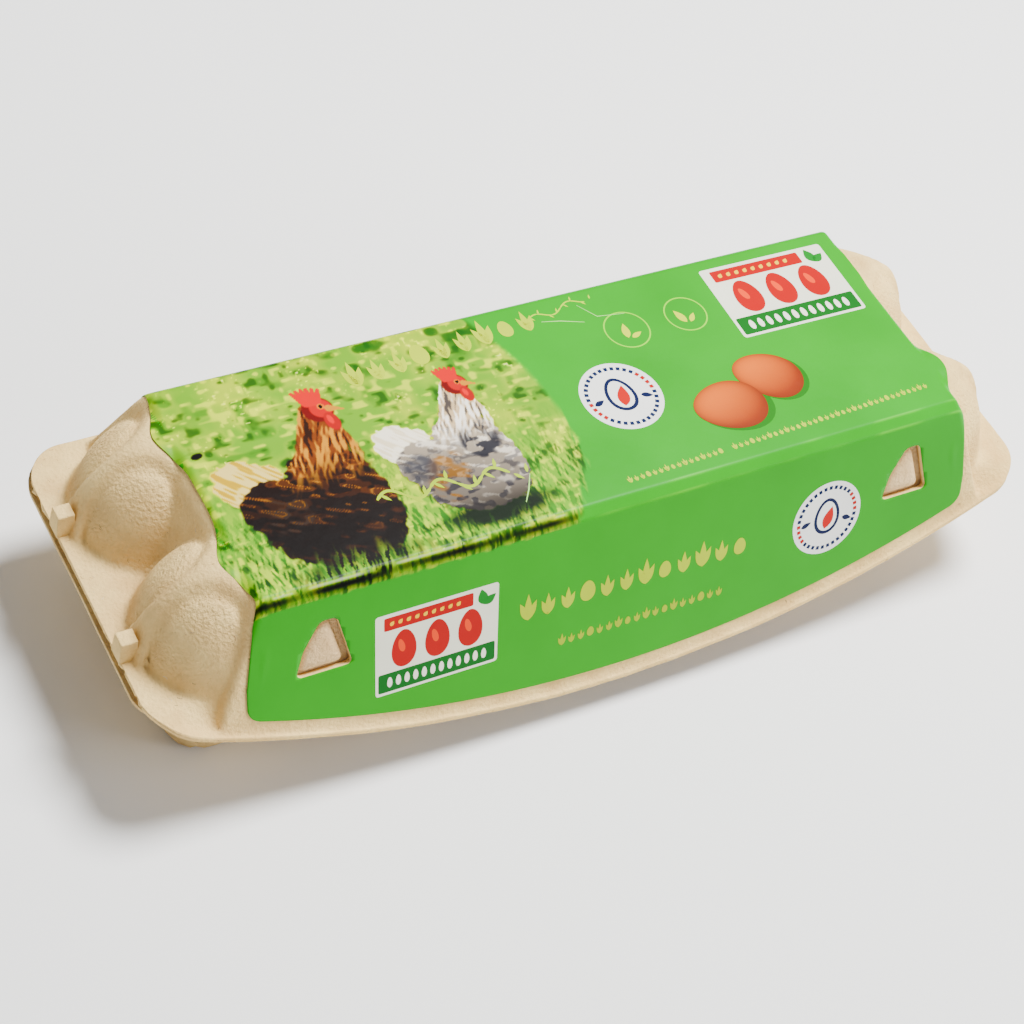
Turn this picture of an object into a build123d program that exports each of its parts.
from build123d import *
import math
import os

os.makedirs("parts", exist_ok=True)

# Moulded pulp carton for two rows of six eggs, closed.
# Millimetres. +X along the rows, +Y from the opening side to the hinge, +Z up.
# The carton stands on its cell floors at z = 0, centred on x = 0 and y = 0.

# ---- driving dimensions ----
columns = 6                 # cells along a row
pitch = 47.5                # cell to cell along a row
row_offset = 23.0           # a row's centre line from the carton's middle line
pulp = 1.8                  # wall of the lid and the deck
cell_wall = 1.6             # wall of a cell
label_paper = 0.25          # paper label with its glue

length = 298.0              # over the end flanges
flange_top = 38.0           # upper face of the lid's end flanges
seam_gap = 0.4              # lid flange to tray deck
rim_radius = 13.0           # flange corners, seen from above

lid_top_z = 67.4            # outside of the lid's top panel
top_half_depth = 39.8       # half the top panel's depth, to the fold lines
panel_half_length = 117.5   # half the top panel's length
wall_lean = 20.0            # front and back walls, from upright
fold_radius = 5.0           # rounded folds between the top panel and the walls
fold_drop = 6.0             # fold line to where the flat wall starts, down the slope

front_sag = 27.0            # how far the lid's front edge dips below its corners
front_arc_half = 146.0      # half the chord of that curved edge
skirt_half_length = 141.0   # half the length of the front skirt
lip_out = 1.5               # front lip, outwards from the front wall
dome_radius = 25.5          # end domes, seen from above
dome_x = 2.5 * pitch        # their centres stand over the end cells
dome_steps = 6              # conical bands in a dome

cell_top_x = 45.0           # outside of a cell where it meets the deck
cell_top_y = 44.0
cell_floor = 29.0
cell_top_corner = 17.0
cell_floor_corner = 8.0
post_base_radius = 7.5      # centre posts between the columns
post_top_radius = 4.5
post_top_z = 64.4

flap_half_length = 112.0    # latch flap behind the front wall
flap_thickness = 1.4
flap_clearance = 0.5        # front wall to flap
flap_top_z = 60.0
knob_x = 99.0               # latch knobs from the middle
knob_base_z = 43.0          # lower edge of the knob holes
hole_width = 16.0
hole_height = 16.0          # up the slope
knob_clearance = 0.9

label_half_length = 121.0   # lower corners of the front label
label_corner_z = 33.6
label_middle_z = 14.3
label_bump = 5.0            # how far the label reaches over each end dome
label_back_drop = 9.0       # label below the rear fold
hinge_half_length = 112.0
hinge_thickness = 1.0
back_flange_y = 52.5        # rear edge of the tray deck, from the middle line
stop_width = 5.0            # denesting blocks, on the left end flange only
stop_depth = 4.6
stop_height = 7.0
stop_x = 146.2

# ---- worked-out sizes ----
lean = math.radians(wall_lean)
slope_x = math.tan(lean)
deck_top = flange_top - pulp - seam_gap
deck_under = deck_top - pulp
dome_rise = lid_top_z - flange_top
arc_radius = (front_arc_half ** 2 + front_sag ** 2) / (2 * front_sag)


def front_edge_z(x):
    """Height of the lid's curved front edge at x."""
    rise = arc_radius - math.sqrt(arc_radius ** 2 - x ** 2)
    return flange_top - front_sag + rise


def wall_y(z):
    """Distance of a leaning wall's outer face from the middle line, at height z."""
    return top_half_depth + (lid_top_z - z) * slope_x


def down_slope(z):
    """Position on a leaning wall of the height z, measured up the slope from the fold line."""
    return (z - lid_top_z) / math.cos(lean)


lip_front = wall_y(front_edge_z(0)) + lip_out * math.cos(lean)
hinge_back = back_flange_y + hinge_thickness
middle_y = (lip_front - hinge_back) / 2      # the carton's middle line, from the box's centre

front_plane = Plane(
    origin=(0, middle_y - top_half_depth, lid_top_z),
    x_dir=(1, 0, 0),
    z_dir=(0, -math.cos(lean), math.sin(lean)),
)
back_plane = Plane(
    origin=(0, middle_y + top_half_depth, lid_top_z),
    x_dir=(-1, 0, 0),
    z_dir=(0, math.cos(lean), math.sin(lean)),
)


def save(shape, name, colour):
    shape.label = name
    shape.color = Color(*colour)
    export_step(shape, f"parts/{name}.step")
    print(f"{name:24s} {shape.volume / 1000:8.2f} cm3")


def plate_between(plane, outline, near, far):
    """Solid over an outline drawn on a plane, from one height above the plane to another."""
    face = plane.offset(near) * outline
    return extrude(face, amount=far - near, dir=plane.z_dir)


def rounded_block(width, depth, corner, z):
    return Pos(0, 0, z) * RectangleRounded(width, depth, corner)


# ---- tray ----
def cell(offset=0.0):
    """A cell's outer form, or its inside when offset is the wall."""
    floor = cell_floor - 2 * offset
    lower = rounded_block(floor, floor, cell_floor_corner - offset, offset)
    top_x = cell_top_x - 2 * offset
    top_y = cell_top_y - 2 * offset
    upper = rounded_block(top_x, top_y, cell_top_corner - offset, deck_top)
    return loft([lower, upper])


def cell_places():
    for row in (-1, 1):
        for column in range(columns):
            x = (column - (columns - 1) / 2) * pitch
            yield Pos(x, middle_y + row * row_offset, 0)


def tray_deck():
    """Flat web that joins the cells, with the end flanges; its front edge stays behind the skirt."""
    depth = 2 * back_flange_y
    outline = RectangleRounded(length, depth, rim_radius)
    deck = plate_between(Plane.XY, Pos(0, middle_y) * outline, deck_under, deck_top)
    front = -wall_y(deck_top) + pulp / math.cos(lean) + flap_clearance
    notch_depth = back_flange_y + front
    notch_half_length = skirt_half_length + 2.0
    notch = Box(2 * notch_half_length, notch_depth, 3 * pulp)
    deck -= Pos(0, middle_y - back_flange_y + notch_depth / 2, deck_top) * notch
    for place in cell_places():
        deck -= place * cell()
    for place in post_places():
        deck -= place * post_form(0)
    return deck


def post_places():
    for column in range(1, columns):
        yield Pos((column - columns / 2) * pitch, middle_y, 0)


def post_form(offset):
    lower = Pos(0, 0, deck_under) * Circle(post_base_radius - offset)
    upper = Pos(0, 0, post_top_z - offset) * Circle(post_top_radius - offset)
    return loft([lower, upper])


def hinge_strip():
    """Living hinge: the thin pulp that joins the rear edges of the tray and the lid."""
    strip = Box(2 * hinge_half_length, hinge_thickness, flange_top - deck_under)
    y = middle_y + back_flange_y + hinge_thickness / 2
    return Pos(0, y, (flange_top + deck_under) / 2) * strip


# ---- lid ----
def top_section(near, far, drop):
    """Section of the top panel with both rounded folds, between two depths under the surface."""
    def corners(depth):
        half = top_half_depth - depth * math.tan((math.pi / 2 - lean) / 2)
        z = lid_top_z - depth
        foot_y = top_half_depth + drop * math.sin(lean) - depth * math.cos(lean)
        foot_z = lid_top_z - drop * math.cos(lean) - depth * math.sin(lean)
        return [(-foot_y, foot_z), (-half, z), (half, z), (foot_y, foot_z)]

    outer = corners(near)
    inner = corners(far)
    section = make_face(Polyline(*outer, *reversed(inner), close=True))
    for corner, radius in ((outer, fold_radius - near), (inner, fold_radius - far)):
        for y, z in corner[1:3]:
            vertex = min(section.vertices(), key=lambda v: math.hypot(v.X - y, v.Y - z))
            section = fillet(vertex, radius)
    return section


def lid_top():
    plane = Plane(origin=(-panel_half_length, middle_y, 0), x_dir=(0, 1, 0), z_dir=(1, 0, 0))
    return plate_between(plane, top_section(0, pulp, fold_drop), 0, 2 * panel_half_length)


def arc_edge(half_length, rise=0.0):
    """The curved front edge as a line on the front wall, from one end to the other."""
    end_v = down_slope(front_edge_z(half_length)) + rise
    low_v = down_slope(front_edge_z(0)) + rise
    return ThreePointArc((half_length, end_v), (0, low_v), (-half_length, end_v))


def front_outline():
    """Front wall: flat panel that widens into the skirt below the flange plane."""
    shoulder = down_slope(flange_top)
    end = (-skirt_half_length, down_slope(front_edge_z(skirt_half_length)))
    sides = Polyline(
        end,
        (-skirt_half_length, shoulder),
        (-panel_half_length, shoulder),
        (-panel_half_length, -fold_drop),
        (panel_half_length, -fold_drop),
        (panel_half_length, shoulder),
        (skirt_half_length, shoulder),
        (skirt_half_length, end[1]),
    )
    return make_face([sides, arc_edge(skirt_half_length)])


def knob_outline(side, shrink):
    """Rounded triangle of a knob hole, drawn on the front wall; shrink makes the knob."""
    base = down_slope(knob_base_z) + shrink
    half = hole_width / 2 - shrink
    height = hole_height - 2 * shrink
    triangle = make_face(
        Polyline(
            (-half, base),
            (half, base),
            (half * 0.3, base + height),
            (-half * 0.3, base + height),
            close=True,
        )
    )
    lower = triangle.vertices().sort_by(Axis.Y)[:2]
    triangle = fillet(lower, 1.2)
    upper = triangle.vertices().sort_by(Axis.Y)[-2:]
    return Pos(side * knob_x, 0) * fillet(upper, 2.0)


def lid_front_wall():
    wall = plate_between(front_plane, front_outline(), -pulp, 0)
    for side in (-1, 1):
        wall -= plate_between(front_plane, knob_outline(side, 0), -2 * pulp, pulp)
    return wall


def lid_back_wall():
    foot = down_slope(flange_top)
    outline = Rectangle(2 * panel_half_length, -fold_drop - foot)
    return plate_between(back_plane, Pos(0, (foot - fold_drop) / 2) * outline, -pulp, 0)


def front_lip():
    """Narrow lip along the curved front edge."""
    band = make_face(
        [
            arc_edge(skirt_half_length),
            arc_edge(skirt_half_length, pulp),
            Line(arc_edge(skirt_half_length) @ 0, arc_edge(skirt_half_length, pulp) @ 0),
            Line(arc_edge(skirt_half_length) @ 1, arc_edge(skirt_half_length, pulp) @ 1),
        ]
    )
    return plate_between(front_plane, band, 0, lip_out)


def back_flange():
    rear = back_flange_y - 0.3
    front = wall_y(flange_top) - pulp / math.cos(lean)
    strip = Box(2 * panel_half_length, rear - front, pulp)
    strip = Pos(0, middle_y + (rear + front) / 2, flange_top - pulp / 2) * strip
    return strip - lid_back_wall()


def dome_form(offset):
    """Egg-shaped end dome over an end cell, with a vertical foot through the flange."""
    radius = dome_radius - offset
    rise = dome_rise - offset
    foot = flange_top - pulp
    points = [(0, foot), (radius, foot)]
    for step in range(dome_steps):
        angle = math.pi / 2 * step / dome_steps
        points.append((radius * math.cos(angle), flange_top + rise * math.sin(angle)))
    flat = radius * math.cos(math.pi / 2 * (dome_steps - 0.4) / dome_steps)
    points += [(flat, flange_top + rise), (0, flange_top + rise)]
    profile = make_face(Polyline(*points, close=True))
    return revolve(Plane.XZ * profile, Axis.Z)


def dome_places(side):
    for row in (-1, 1):
        yield row, Pos(side * dome_x, middle_y + row * row_offset, 0)


def end_dome(side, row, place):
    shell = place * (dome_form(0) - dome_form(pulp))
    reach = 2 * dome_radius
    keep = Box(reach, reach, 4 * dome_rise)
    x = side * (panel_half_length + reach / 2)
    return shell & Pos(x, middle_y + row * reach / 2, flange_top) * keep


def end_web(side):
    """Closes the panel's end outside the domes: the valley between them and the corner ribs."""
    z = flange_top
    section = make_face(
        Polyline(
            (-wall_y(z), z),
            (-top_half_depth, lid_top_z),
            (top_half_depth, lid_top_z),
            (wall_y(z), z),
            close=True,
        )
    )
    plane = Plane(origin=(side * panel_half_length, middle_y, 0), x_dir=(0, 1, 0), z_dir=(1, 0, 0))
    near, far = sorted((0, side * pulp))
    web = plate_between(plane, section, near, far)
    for row, place in dome_places(side):
        web -= place * dome_form(0)
    return web


def end_flange(side):
    rear = back_flange_y - 0.3
    front = wall_y(flange_top) + lip_out
    width = length / 2 - panel_half_length
    sheet = Rectangle(width, rear + front)
    outer = sheet.vertices().sort_by(Axis.X)[-2:]
    sheet = fillet(outer, rim_radius)
    if side < 0:
        sheet = mirror(sheet, about=Plane.YZ)
    x = side * (panel_half_length + width / 2)
    sheet = Pos(x, middle_y + (rear - front) / 2) * sheet
    flange = plate_between(Plane.XY, sheet, flange_top - pulp, flange_top)
    for row, place in dome_places(side):
        flange -= place * dome_form(0)
    return flange - plate_between(front_plane, front_outline(), -pulp, rim_radius)


def denesting_stop(side, row):
    """Small block that keeps nested lids apart."""
    base = Rectangle(stop_width, stop_depth)
    crown = Pos(0, 0, stop_height) * Rectangle(stop_width * 0.8, stop_depth * 0.8)
    block = loft([base, crown])
    block = Pos(side * stop_x, middle_y + row * row_offset, flange_top) * block
    dome = Pos(side * dome_x, middle_y + row * row_offset, 0) * dome_form(0)
    return block - dome


# ---- latch ----
def latch_flap():
    near = -(pulp + flap_clearance + flap_thickness)
    far = -(pulp + flap_clearance)
    low = down_slope(deck_top + flap_clearance) - near * math.tan(lean)
    high = down_slope(flap_top_z)
    outline = Pos(0, (low + high) / 2) * Rectangle(2 * flap_half_length, high - low)
    corners = outline.vertices().sort_by(Axis.Y)[-2:]
    return plate_between(front_plane, fillet(corners, 8.0), near, far)


def latch_knob(side):
    return plate_between(front_plane, knob_outline(side, knob_clearance), -(pulp + flap_clearance), 0)


# ---- label ----
def label_front_outline():
    left = (-label_half_length, down_slope(label_corner_z))
    right = (label_half_length, down_slope(label_corner_z))
    low = ThreePointArc(right, (0, down_slope(label_middle_z)), left)
    sides = Polyline(left, (-panel_half_length, -fold_drop), (panel_half_length, -fold_drop), right)
    return make_face([sides, low])


def label_sheet():
    """Paper glued over the front wall, the top panel and the top of the back wall."""
    plane = Plane(origin=(-panel_half_length, middle_y, 0), x_dir=(0, 1, 0), z_dir=(1, 0, 0))
    sheet = plate_between(plane, top_section(-label_paper, 0, fold_drop), 0, 2 * panel_half_length)
    sheet += plate_between(front_plane, label_front_outline(), 0, label_paper)
    back_low = -label_back_drop
    back = Pos(0, (back_low - fold_drop) / 2) * Rectangle(2 * panel_half_length, -fold_drop - back_low)
    sheet += plate_between(back_plane, back, 0, label_paper)
    for side in (-1, 1):
        for row in (-1, 1):
            bump = Ellipse(label_bump, row_offset * 0.6)
            bump = Pos(side * panel_half_length, middle_y + row * row_offset * 0.9) * bump
            sheet += plate_between(Plane.XY, bump, lid_top_z, lid_top_z + label_paper)
        sheet -= plate_between(front_plane, knob_outline(side, 0), -pulp, pulp)
    return sheet


# ---- write the nodes ----
pulp_colour = (0.80, 0.75, 0.64)
tray_colour = (0.66, 0.62, 0.53)
latch_colour = (0.86, 0.70, 0.52)
label_colour = (0.05, 0.50, 0.12)
side_names = {-1: "left", 1: "right"}
row_names = {-1: "front", 1: "back"}

cell_shell = cell() - cell(cell_wall)
for index, place in enumerate(cell_places(), 1):
    save(place * cell_shell, f"egg_cell_{index:02d}", tray_colour)
save(tray_deck(), "tray_deck", tray_colour)
for index, place in enumerate(post_places(), 1):
    hollow = Pos(0, 0, -0.01) * post_form(cell_wall)
    save(place * (post_form(0) - hollow), f"centre_post_{index}", tray_colour)
save(hinge_strip(), "living_hinge", tray_colour)

save(lid_top(), "lid_top_panel", pulp_colour)
save(lid_front_wall(), "lid_front_wall", pulp_colour)
save(lid_back_wall(), "lid_back_wall", pulp_colour)
save(front_lip(), "lid_front_lip", pulp_colour)
save(back_flange(), "lid_back_flange", pulp_colour)
for side, side_name in side_names.items():
    save(end_web(side), f"lid_end_web_{side_name}", pulp_colour)
    save(end_flange(side), f"lid_end_flange_{side_name}", pulp_colour)
    for row, place in dome_places(side):
        name = f"{row_names[row]}_{side_name}"
        save(end_dome(side, row, place), f"lid_dome_{name}", pulp_colour)
        if side < 0:
            save(denesting_stop(side, row), f"denesting_stop_{name}", pulp_colour)
    save(latch_knob(side), f"latch_knob_{side_name}", latch_colour)
save(latch_flap(), "latch_flap", latch_colour)
save(label_sheet(), "paper_label", label_colour)
